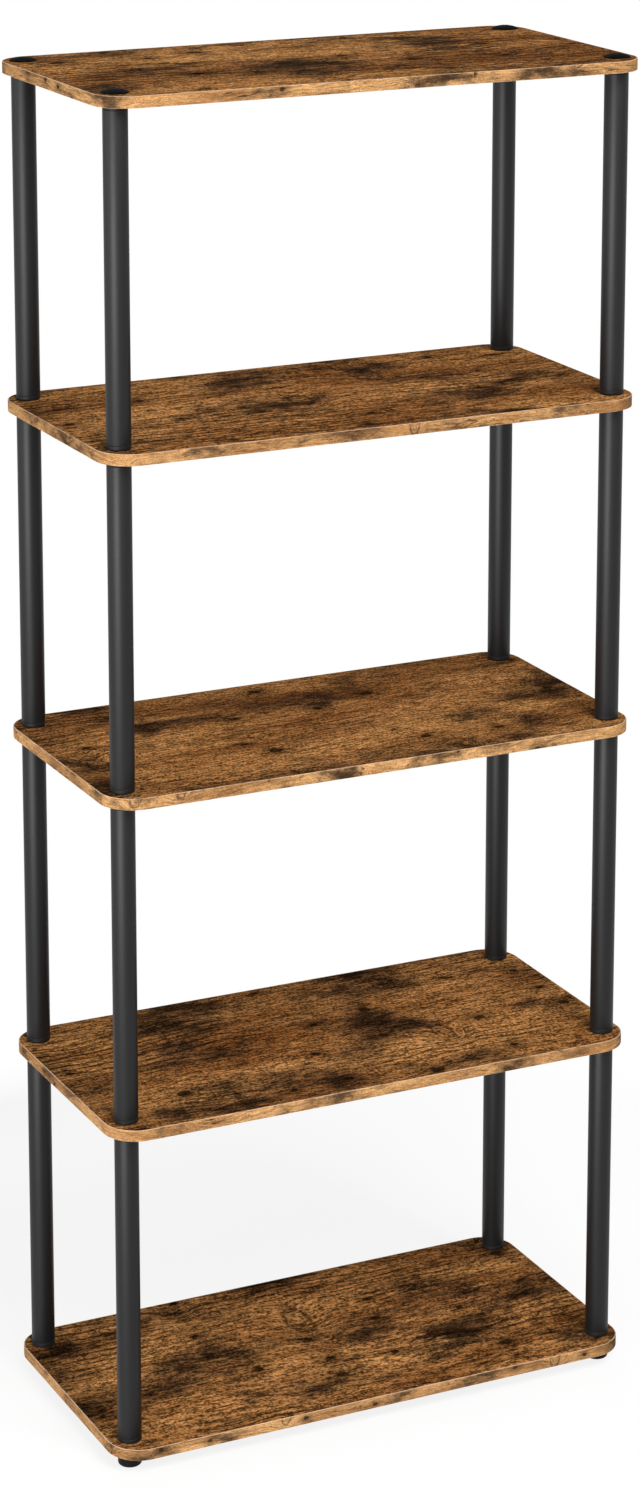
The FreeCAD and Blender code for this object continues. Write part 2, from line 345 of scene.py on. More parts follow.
class RusticPrint:
    """Printed picture of weathered wood, shared by the boards and their edge bands.

    Its places are in metres, with the grain along the first axis. A span is where a mask goes
    from 0 to 1, and a tone is how strong a mark is in the picture.
    """

    NAME = "rustic_print"
    COLOURS = ("Gold", "Brown", "Umber", "Ash")
    STRENGTHS = ("Stain", "Lines", "Speck")

    # Slow waves of the grain, and how far waves and knots push it aside, in metres.
    WAVES = Noise((4.5, 9.0, 1.0), 2.0)
    WAVE_PUSH = 0.035
    KNOT_PUSH = 0.014

    # How the knots are scattered, and how far their outlines are broken, in cells.
    SMALL_KNOTS = KnotKind((11.0, 15.0, 0.0), least=0.045, extra=0.085, empty=0.5)
    LARGE_KNOTS = KnotKind((8.5, 4.6, 0.0), least=0.07, extra=0.06, empty=0.68)
    KNOT_SCATTER = 0.9
    KNOT_ONSET = 0.02
    CELL_BORDER = (0.0, 0.12)
    RAGGED = Noise((75.0, 120.0, 1.0), 4.0, 0.65)
    RAGGED_DEPTH = 0.13

    # How the knots look, with spans and contours in units of a knot's own reach.
    SPOT_SPAN = (1.3, 0.5)
    HALO_SPAN = (3.4, 0.7)
    HALO_TONE = 0.5
    RING_LEVEL = 1.0
    RING_WIDTH = 0.32
    RING_TONE = 0.75
    HEART_LEVEL = 0.5
    HEART_WIDTH = 0.2
    HEART_TONE = 0.6
    SWELL_SPAN = (3.6, 0.0)

    # Ground in slow streaks, with fibres in them.
    STREAKS = Noise((3.2, 13.0, 1.0), 5.0, 0.62)
    FIBRES = Noise((16.0, 190.0, 1.0), 3.0, 0.6)
    FIBRE_SHARE = 0.28
    GOLD_SPAN = (0.34, 0.64)

    # Smudges with torn outlines.
    SMUDGES = Noise((8.5, 14.0, 1.0), 2.0, 0.5)
    TATTERS = Noise((34.0, 72.0, 2.0), 6.0, 0.75)
    TATTER_DEPTH = 0.5
    SMUDGE_SPAN = (0.46, 0.69)
    SMUDGE_TONE = 0.85
    CORE_SPAN = (0.60, 0.76)
    CORE_TONE = 0.9

    # Figure lines, with their wander and tremble in line spacings, and hair lines.
    FIGURES_PER_METRE = 85.0
    WANDER = Noise((3.0, 9.0, 1.0), 3.0, 0.5)
    WANDER_SPACINGS = 7.0
    TREMBLE = Noise((45.0, 110.0, 1.0))
    TREMBLE_SPACINGS = 0.45
    HALF_SPACING = 0.5
    FIGURE_SPAN = (0.30, 0.46)
    FIGURE_TONE = 0.9
    ZONES = Noise((2.6, 8.0, 6.0), 2.0)
    ZONE_SPAN = (0.45, 0.58)
    HAIRS = Noise((12.0, 115.0, 1.0), 3.0, 0.6)
    HAIR_LEVEL = 0.5
    HAIR_WIDTH = 0.05
    HAIR_TONE = 0.28

    # Cracks along the grain and across it, and pores.
    CRACKS_ALONG = CrackKind(
        Noise((9.0, 58.0, 1.0)), level=0.47, width=0.03,
        patches=Noise((6.0, 24.0, 4.0), 2.0), patch_span=(0.55, 0.66),
    )
    CRACKS_ACROSS = CrackKind(
        Noise((40.0, 9.0, 7.0)), level=0.5, width=0.035,
        patches=Noise((17.0, 13.0, 9.0), 2.0), patch_span=(0.67, 0.75),
    )
    PORES = Noise((65.0, 130.0, 5.0), 3.0, 0.65)
    PORE_SPAN = (0.63, 0.70)
    PORE_TONE = 0.8
    DARK_TONE = 0.95

    # Finest grain, of short dashes and specks.
    DASHES = Noise((70.0, 360.0, 1.0), 3.0, 0.6)
    SPECKS = Noise((340.0, 400.0, 1.0), 2.0, 0.6)
    SPECK_SHARE = 0.52
    SPECK_RANGE = (0.40, 0.60)
    DARKEST_SPECK = 0.25

    # Relief of the pressed film, as shares of its depth.
    GRAIN_RISE = 0.3
    DARK_SINK = 0.7
    LINE_SINK = 0.5

    @classmethod
    def group(cls) -> bpy.types.NodeTree:
        """Builds the node group once.

        Returns:
            A group that turns a place on the print into a colour and a height.
        """
        if cls.NAME in bpy.data.node_groups:
            return bpy.data.node_groups[cls.NAME]
        inputs = {"Place": "Vector"}
        inputs |= dict.fromkeys(cls.COLOURS, "Color")
        inputs |= dict.fromkeys(cls.STRENGTHS, "Float")
        group, sheet = new_group(cls.NAME, inputs, {"Colour": "Color", "Height": "Float"})
        source = sheet.add("NodeGroupInput").outputs
        place, spots, rings = cls.flow(sheet, source["Place"])
        colour = cls.ground(sheet, place, source["Brown"], source["Gold"])
        smudge, core = cls.smudges(sheet, place)
        colour = sheet.blend(sheet.times(smudge, source["Stain"]), colour, source["Ash"])
        colour = sheet.blend(sheet.times(core, source["Stain"]), colour, source["Umber"])
        lines = sheet.times(cls.lines(sheet, place), source["Lines"])
        colour = sheet.blend(lines, colour, source["Umber"])
        dark = sheet.larger(cls.cracks(sheet, place), sheet.larger(spots, rings))
        colour = sheet.blend(sheet.times(dark, cls.DARK_TONE), colour, source["Umber"])
        grain = sheet.layered(place, cls.DASHES, cls.SPECKS, cls.SPECK_SHARE)
        colour = cls.speckle(sheet, colour, grain, source["Speck"])
        sunk = sheet.plus(sheet.times(dark, cls.DARK_SINK), sheet.times(lines, cls.LINE_SINK))
        height = sheet.minus(sheet.times(grain, cls.GRAIN_RISE), sunk)
        sheet.add("NodeGroupOutput", {"Colour": colour, "Height": height})
        return group

    @classmethod
    def flow(cls, sheet: NodeSheet, place: Socket) -> tuple[Socket, Socket, Socket]:
        """Bends the grain in slow waves and round scattered knots.

        Args:
            sheet: Sheet of the group.
            place: Straight place on the print.

        Returns:
            The bent place, a mask of small dark knots and a mask of ring-shaped knots.
        """
        parts = sheet.add("ShaderNodeSeparateXYZ", {0: place}).outputs
        wave = sheet.swing(place, cls.WAVES)
        ragged = sheet.times(sheet.swing(place, cls.RAGGED), cls.RAGGED_DEPTH)
        small, small_here = cls.knots(sheet, place, cls.SMALL_KNOTS, ragged)
        large, large_here = cls.knots(sheet, place, cls.LARGE_KNOTS, ragged)
        halo = sheet.times(sheet.ramp(small, cls.HALO_SPAN), cls.HALO_TONE)
        spots = sheet.times(sheet.larger(sheet.ramp(small, cls.SPOT_SPAN), halo), small_here)
        ring = sheet.contour(large, cls.RING_LEVEL, cls.RING_WIDTH)
        heart = sheet.contour(large, cls.HEART_LEVEL, cls.HEART_WIDTH)
        rings = sheet.larger(ring, sheet.times(heart, cls.HEART_TONE))
        rings = sheet.times(sheet.times(rings, large_here), cls.RING_TONE)
        swell = sheet.times(sheet.ramp(large, cls.SWELL_SPAN), large_here)
        bend = sheet.plus(sheet.times(wave, cls.WAVE_PUSH), sheet.times(swell, cls.KNOT_PUSH))
        across = sheet.plus(parts[1], bend)
        bent = sheet.add("ShaderNodeCombineXYZ", {0: parts[0], 1: across, 2: parts[2]}).outputs[0]
        return bent, spots, rings

    @classmethod
    def knots(
        cls, sheet: NodeSheet, place: Socket, kind: KnotKind, ragged: Socket
    ) -> tuple[Socket, Socket]:
        """Scatters knots of one kind.

        Args:
            sheet: Sheet of the group.
            place: Straight place on the print.
            kind: Kind of knot.
            ragged: Swing that breaks the knots' outlines, in cells.

        Returns:
            The distance from the nearest knot in units of its reach, and 1 where there is one.
        """
        values = {"Vector": sheet.stretch(place, kind.spread), "Scale": 1.0}
        values |= {"Randomness": cls.KNOT_SCATTER}
        cells = sheet.add("ShaderNodeTexVoronoi", values, voronoi_dimensions="2D").outputs
        borders = sheet.add(
            "ShaderNodeTexVoronoi", values, voronoi_dimensions="2D", feature="DISTANCE_TO_EDGE"
        ).outputs
        chance = sheet.add("ShaderNodeSeparateColor", {0: cells["Color"]}).outputs
        reach = sheet.plus(sheet.times(chance[1], kind.extra), kind.least)
        away = sheet.plus(cells["Distance"], ragged)
        chosen = sheet.ramp(chance[0], (kind.empty, kind.empty + cls.KNOT_ONSET))
        inside = sheet.ramp(borders["Distance"], cls.CELL_BORDER)
        return sheet.math("DIVIDE", away, reach), sheet.times(chosen, inside)

    @classmethod
    def ground(cls, sheet: NodeSheet, place: Socket, brown: Socket, gold: Socket) -> Socket:
        """Lays golden brown in slow streaks along the bent grain."""
        streaks = sheet.layered(place, cls.STREAKS, cls.FIBRES, cls.FIBRE_SHARE)
        return sheet.blend(sheet.ramp(streaks, cls.GOLD_SPAN), brown, gold)

    @classmethod
    def smudges(cls, sheet: NodeSheet, place: Socket) -> tuple[Socket, Socket]:
        """Scatters soft grey-brown smudges, a few of them with a dark core.

        Args:
            sheet: Sheet of the group.
            place: Bent place on the print.

        Returns:
            Masks of the smudges and of their cores.
        """
        torn = sheet.times(sheet.swing(place, cls.TATTERS), cls.TATTER_DEPTH)
        level = sheet.plus(sheet.noise(place, cls.SMUDGES), torn)
        smudge = sheet.times(sheet.ramp(level, cls.SMUDGE_SPAN), cls.SMUDGE_TONE)
        core = sheet.times(sheet.ramp(level, cls.CORE_SPAN), cls.CORE_TONE)
        return smudge, core

    @classmethod
    def lines(cls, sheet: NodeSheet, place: Socket) -> Socket:
        """Draws wavy figure lines in some zones and hair lines all over.

        Args:
            sheet: Sheet of the group.
            place: Bent place on the print.

        Returns:
            A mask of the lines.
        """
        parts = sheet.add("ShaderNodeSeparateXYZ", {0: place}).outputs
        wander = sheet.times(sheet.noise(place, cls.WANDER), cls.WANDER_SPACINGS)
        tremble = sheet.times(sheet.noise(place, cls.TREMBLE), cls.TREMBLE_SPACINGS)
        straight = sheet.times(parts[1], cls.FIGURES_PER_METRE)
        phase = sheet.plus(straight, sheet.plus(wander, tremble))
        crest = sheet.math("PINGPONG", phase, cls.HALF_SPACING)
        zone = sheet.ramp(sheet.noise(place, cls.ZONES), cls.ZONE_SPAN)
        figure = sheet.times(sheet.ramp(crest, cls.FIGURE_SPAN), zone)
        hair = sheet.contour(sheet.noise(place, cls.HAIRS), cls.HAIR_LEVEL, cls.HAIR_WIDTH)
        return sheet.larger(sheet.times(figure, cls.FIGURE_TONE), sheet.times(hair, cls.HAIR_TONE))

    @classmethod
    def cracks(cls, sheet: NodeSheet, place: Socket) -> Socket:
        """Scatters short dark cracks and pores.

        Args:
            sheet: Sheet of the group.
            place: Bent place on the print.

        Returns:
            A mask of the cracks and pores.
        """
        dark = sheet.times(sheet.ramp(sheet.noise(place, cls.PORES), cls.PORE_SPAN), cls.PORE_TONE)
        for kind in (cls.CRACKS_ALONG, cls.CRACKS_ACROSS):
            crack = sheet.contour(sheet.noise(place, kind.course), kind.level, kind.width)
            here = sheet.ramp(sheet.noise(place, kind.patches), kind.patch_span)
            dark = sheet.larger(dark, sheet.times(crack, here))
        return dark

    @classmethod
    def speckle(cls, sheet: NodeSheet, colour: Socket, grain: Socket, amount: Socket) -> Socket:
        """Darkens and lightens a colour in fine specks.

        Args:
            sheet: Sheet of the group.
            colour: Colour without specks.
            grain: Finest grain, from 0 to 1.
            amount: How strong the specks are.

        Returns:
            The colour with specks.
        """
        swing = sheet.mapped(grain, (-1.0, 1.0), cls.SPECK_RANGE)
        tone = sheet.plus(sheet.times(swing, amount), 1.0)
        return sheet.toned(colour, sheet.larger(tone, cls.DARKEST_SPECK))


class CoatSurface:
    """Fine skin of painted or moulded black pieces, with wear on their edges."""

    NAME = "coat_surface"
    SKIN_DETAIL = 2.0
    SKIN_ROUGH = 0.6
    CLOUDS = Noise((16.0, 16.0, 7.0), 4.0, 0.6)
    CLOUD_TONES = (0.93, 1.07)
    CLOUD_ROUGHNESS = 0.06
    PATCHES = Noise((220.0, 220.0, 90.0))
    PATCH_SPAN = (0.42, 0.7)
    WORN_TONE = 0.55
    WORN_POLISH = 0.08

    @classmethod
    def group(cls) -> bpy.types.NodeTree:
        """Builds the node group once.

        Returns:
            A group that turns a place and an edge mask into a colour, a roughness and a height.
        """
        if cls.NAME in bpy.data.node_groups:
            return bpy.data.node_groups[cls.NAME]
        inputs = {"Place": "Vector", "Edge": "Float", "Tone": "Color", "Worn": "Color"}
        inputs |= {"Roughness": "Float", "Grain": "Float"}
        outputs = {"Colour": "Color", "Roughness": "Float", "Height": "Float"}
        group, sheet = new_group(cls.NAME, inputs, outputs)
        source = sheet.add("NodeGroupInput").outputs
        place = source["Place"]
        values = {"Vector": place, "Scale": source["Grain"]}
        values |= {"Detail": cls.SKIN_DETAIL, "Roughness": cls.SKIN_ROUGH}
        skin = sheet.add("ShaderNodeTexNoise", values).outputs[0]
        cloud = sheet.noise(place, cls.CLOUDS)
        patches = sheet.ramp(sheet.noise(place, cls.PATCHES), cls.PATCH_SPAN)
        worn = sheet.times(source["Edge"], patches)
        tone = sheet.toned(source["Tone"], sheet.mapped(cloud, cls.CLOUD_TONES))
        colour = sheet.blend(sheet.times(worn, cls.WORN_TONE), tone, source["Worn"])
        drift = sheet.times(sheet.minus(cloud, sheet.MIDDLE), cls.CLOUD_ROUGHNESS)
        rough = sheet.plus(source["Roughness"], drift)
        rough = sheet.math("SUBTRACT", rough, sheet.times(worn, cls.WORN_POLISH), clamp=True)
        sheet.add("NodeGroupOutput", {"Colour": colour, "Roughness": rough, "Height": skin})
        return group


def new_material(name: str) -> tuple[bpy.types.Material, NodeSheet, bpy.types.Node]:
    """Starts a node material with a Principled shader on its output.

    Args:
        name: Name of the material.

    Returns:
        The material, a sheet that adds nodes to it, and its shader node.
    """
    material = bpy.data.materials.new(name)
    sheet = NodeSheet.cleared(material)
    shader = sheet.add("ShaderNodeBsdfPrincipled")
    sheet.add("ShaderNodeOutputMaterial", {"Surface": shader.outputs[0]})
    return material, sheet, shader


def add_bump(sheet: NodeSheet, shader: bpy.types.Node, height: Socket, depth: float) -> None:
    """Gives a shader a relief, with its height as a share of a depth in metres."""
    bump = sheet.add("ShaderNodeBump", {"Height": height, "Strength": 1.0, "Distance": depth})
    sheet.feed(shader.inputs["Normal"], bump.outputs[0])


@dataclass(frozen=True)
class WoodPrint:
    """Wood-print finish of a board's faces or of an edge band.

    Attributes:
        name: Name of the material.
        gold: Colour of the lightest grain.
        brown: Colour of the common grain.
        umber: Colour of lines, cracks, knots and the cores of smudges.
        ash: Colour of the smudges.
        stain: How strong the smudges are.
        lines: How strong the grain lines are.
        speck: How strong the fine specks are.
        roughness: Roughness of the film.
        relief: Depth of the pressed grain, in metres.
        gloss: Specular level of the shader.
        pale_edge_and_highlight: Colour along trimmed edges, if there are any: the bare plastic there,
            made paler as a painted highlight on the rounded edge.
        lip_patches: Noise that breaks the pale edge up.
        lip_span: Values of that noise between which the pale edge comes in.
        relief_roughness: Change of the roughness from the bottom to the top of the relief.
    """

    name: str
    gold: Colour
    brown: Colour
    umber: Colour
    ash: Colour
    stain: float
    lines: float
    speck: float
    roughness: float
    relief: float
    gloss: float
    pale_edge_and_highlight: Colour | None = None
    lip_patches: Noise = Noise((60.0, 300.0, 1.0))
    lip_span: Span = (0.25, 0.5)
    relief_roughness: float = -0.12

    def material(self) -> bpy.types.Material:
        """Builds the material.

        Returns:
            A material that reads the place on the print from the mesh.
        """
        material, sheet, shader = new_material(self.name)
        place = sheet.add("ShaderNodeAttribute", attribute_name=PLACE_LAYER).outputs["Vector"]
        values = {"Place": place, "Gold": as_rgba(self.gold), "Brown": as_rgba(self.brown)}
        values |= {"Umber": as_rgba(self.umber), "Ash": as_rgba(self.ash)}
        values |= {"Stain": self.stain, "Lines": self.lines, "Speck": self.speck}
        print_node = sheet.add("ShaderNodeGroup", values, node_tree=RusticPrint.group())
        colour = print_node.outputs["Colour"]
        height = print_node.outputs["Height"]
        # Pale trimmed edge of a band: bare plastic, and a painted highlight on its rounded edge.
        if self.pale_edge_and_highlight is not None:
            edge = sheet.add("ShaderNodeAttribute", attribute_name=EDGE_LAYER).outputs["Fac"]
            patches = sheet.ramp(sheet.noise(place, self.lip_patches), self.lip_span)
            colour = sheet.blend(sheet.times(edge, patches), colour, self.pale_edge_and_highlight)
        sheet.feed(shader.inputs["Base Color"], colour)
        drift = sheet.times(height, self.relief_roughness)
        sheet.feed(shader.inputs["Roughness"], sheet.math("ADD", drift, self.roughness, clamp=True))
        shader.inputs["Specular IOR Level"].default_value = self.gloss
        add_bump(sheet, shader, height, self.relief)
        return material


@dataclass(frozen=True)
class BlackCoat:
    """Black paint, moulded plastic or rubber.

    Attributes:
        name: Name of the material.
        tone: Colour of the surface.
        worn: Brightness of rubbed edges.
        roughness: Roughness of the surface.
        grain: Bumps per metre of the fine skin.
        relief: Depth of the fine skin, in metres.
        gloss: Specular level of the shader.
    """

    name: str
    tone: Colour
    worn: float
    roughness: float
    grain: float
    relief: float
    gloss: float

    def material(self) -> bpy.types.Material:
        """Builds the material.

        Returns:
            A material that reads the rubbed edges from the mesh.
        """
        material, sheet, shader = new_material(self.name)
        place = sheet.add("ShaderNodeTexCoord").outputs["Object"]
        edge = sheet.add("ShaderNodeAttribute", attribute_name=EDGE_LAYER).outputs["Fac"]
        values = {"Place": place, "Edge": edge, "Tone": as_rgba(self.tone)}
        values |= {"Worn": as_rgba((self.worn, self.worn, self.worn))}
        values |= {"Roughness": self.roughness, "Grain": self.grain}
        coat = sheet.add("ShaderNodeGroup", values, node_tree=CoatSurface.group())
        sheet.feed(shader.inputs["Base Color"], coat.outputs["Colour"])
        sheet.feed(shader.inputs["Roughness"], coat.outputs["Roughness"])
        shader.inputs["Specular IOR Level"].default_value = self.gloss
        add_bump(sheet, shader, coat.outputs["Height"], self.relief)
        return material


BOARD_PRINT = WoodPrint(
    name="rustic_board_film",
    gold=(0.366, 0.172, 0.0565),
    brown=(0.135, 0.050, 0.0132),
    umber=(0.010, 0.0044, 0.0016),
    ash=(0.044, 0.0225, 0.0110),
    stain=0.95,
    lines=0.9,
    speck=1.1,
    roughness=0.85,
    relief=0.0001,
    gloss=0.004,
)
BAND_PRINT = WoodPrint(
    name="rustic_edge_film",
    gold=(0.405, 0.222, 0.090),
    brown=(0.178, 0.081, 0.028),
    umber=(0.018, 0.009, 0.004),
    ash=(0.056, 0.031, 0.0155),
    stain=0.95,
    lines=0.45,
    speck=0.4,
    roughness=0.7,
    relief=0.00003,
    gloss=0.05,
    # Pale trimmed edge: bare plastic, with a painted highlight on the rounded edge.
    pale_edge_and_highlight=(0.60, 0.41, 0.28),
)
TUBE_PAINT = BlackCoat(
    name="satin_black_paint",
    tone=BLACK,
    worn=0.012,
    roughness=0.48,
    grain=2600.0,
    relief=0.000003,
    gloss=0.26,
)
PLUG_PLASTIC = BlackCoat(
    name="moulded_black_plug",
    tone=BLACK,
    worn=0.012,
    roughness=0.55,
    grain=3200.0,
    relief=0.000005,
    gloss=0.22,
)
CAP_PLASTIC = BlackCoat(
    name="moulded_black_cap",
    tone=BLACK,
    worn=0.014,
    roughness=0.55,
    grain=3000.0,
    relief=0.000006,
    gloss=0.003,
)
FOOT_PAINT = BlackCoat(
    name="satin_black_foot",
    tone=BLACK,
    worn=0.014,
    roughness=0.48,
    grain=2600.0,
    relief=0.000004,
    gloss=0.08,
)
PAD_RUBBER = BlackCoat(
    name="dark_grey_rubber",
    tone=(0.024, 0.024, 0.025),
    worn=0.04,
    roughness=0.8,
    grain=1800.0,
    relief=0.00003,
    gloss=0.2,
)


@dataclass(frozen=True)
class Ring:
    """One ring of a turned shape.

    Attributes:
        radius: Distance from the axis, zero for the tip of the shape.
        height: Height above the floor.
        edge: How far the ring counts as a rubbed edge, from 0 to 1.
        thread: Depth of the thread there, zero for a plain ring.
    """

    radius: float
    height: float
    edge: float = 0.0
    thread: float = 0.0


def rounded(radius: float, height: float, size: float, start: float, steps: int = 5) -> list[Ring]:
    """Makes the rings of a quarter round.

    Args:
        radius: Distance of the round's centre from the axis.
        height: Height of the round's centre.
        size: Radius of the round.
        start: Angle in degrees, from outwards, at which the quarter turn starts.
        steps: Number of steps.

    Returns:
        The rings from the start, anticlockwise.
    """
    rings = []
    for step in range(steps + 1):
        angle = math.radians(start + QUARTER_TURN * step / steps)
        worn = math.sin(math.pi * step / steps)
        rings.append(Ring(radius + size * math.cos(angle), height + size * math.sin(angle), worn))
    return rings


def lower_edge(
    radius: float, height: float, size: float, wear: float = 0.0, side_wear: float = 0.0
) -> list[Ring]:
    """Rings of a chamfer from a lower face to the side above it, and how far each is rubbed."""
    return [Ring(radius - size, height, wear), Ring(radius, height + size, side_wear)]


def upper_edge(radius: float, height: float, size: float, wear: float = 0.0) -> list[Ring]:
    """Rings of a chamfer from a side to the face above it, and how far the face's ring is rubbed."""
    return [Ring(radius, height - size), Ring(radius - size, height, wear)]


def around(axis: Vector, radius: float, angle: float, height: float) -> Vector:
    """Point at a radius and an angle about an upright axis."""
    return Vector((axis.x + radius * math.cos(angle), axis.y + radius * math.sin(angle), height))


def circle(axis: Vector, radius: float, height: float, steps: int = 32) -> list[Vector]:
    """Points of a level circle about an upright axis."""
    return [around(axis, radius, math.tau * step / steps, height) for step in range(steps)]


@dataclass(frozen=True)
class ThreadedStud:
    """Threaded stud that passes through a board.

    Attributes:
        radius: Radius over the thread.
        thread_depth: Depth of the thread.
        pitch: Rise of the thread in one turn.
        flank_slope: How fast the thread's flank sinks, from crest to root.
        flank_start: How wide the thread's crest is, on the same scale.
        tip_chamfer: Width of the chamfer at the tip.
        tip_wear: How far that chamfer is rubbed.
        rows_per_turn: Rings of the mesh in one turn of the thread.
    """

    radius: float = 0.005
    thread_depth: float = 0.0007
    pitch: float = 0.003
    flank_slope: float = 1.6
    flank_start: float = 0.3
    tip_chamfer: float = 0.0006
    tip_wear: float = 0.4
    rows_per_turn: int = 8

    def rings(self, tip: float, shoulder: float) -> list[Ring]:
        """Makes the rings of the stud.

        Args:
            tip: Height of its lower end.
            shoulder: Height at which it meets the plug or cap above it.

        Returns:
            The rings from the middle of the tip up to the shoulder.
        """
        core = self.radius - self.thread_depth
        rings = [Ring(0.0, tip), *lower_edge(core, tip, self.tip_chamfer, self.tip_wear, self.tip_wear)]
        rows = self.rows_per_turn * round((shoulder - tip) / self.pitch)
        for row in range(1, rows):
            height = tip + (shoulder - tip) * row / rows
            depth = self.thread_depth * min(1.0, row / self.rows_per_turn)
            rings.append(Ring(core + depth, height, thread=depth))
        rings.append(Ring(core, shoulder))
        return rings

    def cut(self, height: float, turn: float) -> float:
        """Share of the thread's depth that is cut at a place, 0 on the crest and 1 in the root."""
        away = abs(2.0 * ((height / self.pitch - turn) % 1.0) - 1.0)
        return min(1.0, max(0.0, self.flank_slope * away - self.flank_start))


STUD = ThreadedStud()


@dataclass
class PieceMesh:
    """One piece while it is built.

    Attributes:
        points: Places of the vertices.
        faces: Numbers of each face's vertices, anticlockwise from outside.
        places: Place of each vertex on the print.
        edges: How far each vertex counts as a rubbed edge, or on a band as its pale trimmed
        edge with a painted highlight, from 0 to 1.
    """

    points: list[Vector] = field(default_factory=list)
    faces: list[tuple[int, ...]] = field(default_factory=list)
    places: list[Vector] = field(default_factory=list)
    edges: list[float] = field(default_factory=list)

    def add_point(self, point: Vector, place: Vector | None = None, edge: float = 0.0) -> int:
        """Adds a vertex.

        Args:
            point: Place of the vertex.
            place: Its place on the print, if it has one.
            edge: How far it counts as a rubbed edge, or on a band as its pale trimmed edge with a
            painted highlight.

        Returns:
            Number of the vertex.
        """
        self.points.append(point)
        self.places.append(point if place is None else place)
        self.edges.append(edge)
        return len(self.points) - 1

    def turn(self, rings: list[Ring], axis: Vector, closed: bool = False) -> None:
        """Adds a shape turned about an upright axis, with the studs' thread on rings that have one.

        Args:
            rings: Rings from the bottom middle, anticlockwise in the half section.
            axis: A point on the axis.
            closed: Whether the section is a loop, as in a tube, and meets no axis.
        """
        rows = []
        for ring in rings:
            row = []
            for step in range(TURNED_STEPS if ring.radius > 0.0 else 1):
                turn = step / TURNED_STEPS
                radius = ring.radius - ring.thread * STUD.cut(ring.height, turn)
                spot = around(axis, radius, math.tau * turn, ring.height)
                row.append(self.add_point(spot, edge=ring.edge))
            rows.append(row)
        pairs = list(zip(rows, rows[1:]))
        if closed:
            pairs.append((rows[-1], rows[0]))
        for lower, upper in pairs:
            self.bridge(lower, upper)

    def bridge(self, lower: list[int], upper: list[int]) -> None:
        """Joins two closed rows of vertices, one of which may be a single point.

        Args:
            lower: Vertices of the first row.
            upper: Vertices of the second row.
        """
        count = max(len(lower), len(upper))
        for step in range(count):
            after = (step + 1) % count
            if len(lower) == 1:
                self.faces.append((lower[0], upper[after], upper[step]))
            elif len(upper) == 1:
                self.faces.append((lower[step], lower[after], upper[0]))
            else:
                self.faces.append((lower[step], lower[after], upper[after], upper[step]))

    def build(self, name: str, finish: bpy.types.Material, slot: Slot, body: str, *nodes: str) -> None:
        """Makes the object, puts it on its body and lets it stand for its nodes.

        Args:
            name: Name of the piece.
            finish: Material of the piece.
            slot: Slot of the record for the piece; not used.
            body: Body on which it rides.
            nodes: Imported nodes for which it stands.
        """
        mesh = bpy.data.meshes.new(name)
        mesh.from_pydata([tuple(point) for point in self.points], [], self.faces)
        place = mesh.attributes.new(PLACE_LAYER, "FLOAT_VECTOR", "POINT")
        place.data.foreach_set("vector", [value for spot in self.places for value in spot])
        edge = mesh.attributes.new(EDGE_LAYER, "FLOAT", "POINT")
        edge.data.foreach_set("value", self.edges)
        mesh.validate()
        mesh.shade_smooth()
        mesh.set_sharp_from_angle(angle=math.radians(SHARP_ANGLE))
        mesh.materials.append(finish)
        piece = bpy.data.objects.new(name, mesh)
        bpy.context.scene.collection.objects.link(piece)
        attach(piece, body)
        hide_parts(*nodes)
        LOG.info("%s: %d faces on %s", name, len(mesh.polygons), body)


@dataclass(frozen=True)
class BoardOutline:
    """Rectangle with round corners about the origin.

    Attributes:
        half_length: Half of its length.
        half_depth: Half of its depth.
        corner_radius: Radius of its corners.
        corner_steps: Steps round each corner.
    """

    half_length: float
    half_depth: float
    corner_radius: float
    corner_steps: int = 20

    def stations(self) -> list[tuple[Vector, Vector]]:
        """Walks round the outline, anticlockwise from the back left.

        Returns:
            Places on the outline and their outward normals.
        """
        found = []
        x = self.half_length - self.corner_radius
        y = self.half_depth - self.corner_radius
        for number, (side_x, side_y) in enumerate(((-1, 1), (-1, -1), (1, -1), (1, 1))):
            centre = Vector((side_x * x, side_y * y, 0.0))
            for step in range(self.corner_steps + 1):
                angle = math.radians(QUARTER_TURN * (number + 1 + step / self.corner_steps))
                normal = Vector((math.cos(angle), math.sin(angle), 0.0))
                found.append((centre + self.corner_radius * normal, normal))
        return found

    def inset(self, depth: float, height: float) -> list[Vector]:
        """Level loop of points that lies inside the outline by a depth."""
        return [spot - depth * normal + Vector((0.0, 0.0, height)) for spot, normal in self.stations()]


def half_width(box: Box) -> float:
    """Half of a box's size along the unit's length, which is a round piece's radius."""
    return (box[1].x - box[0].x) / 2.0


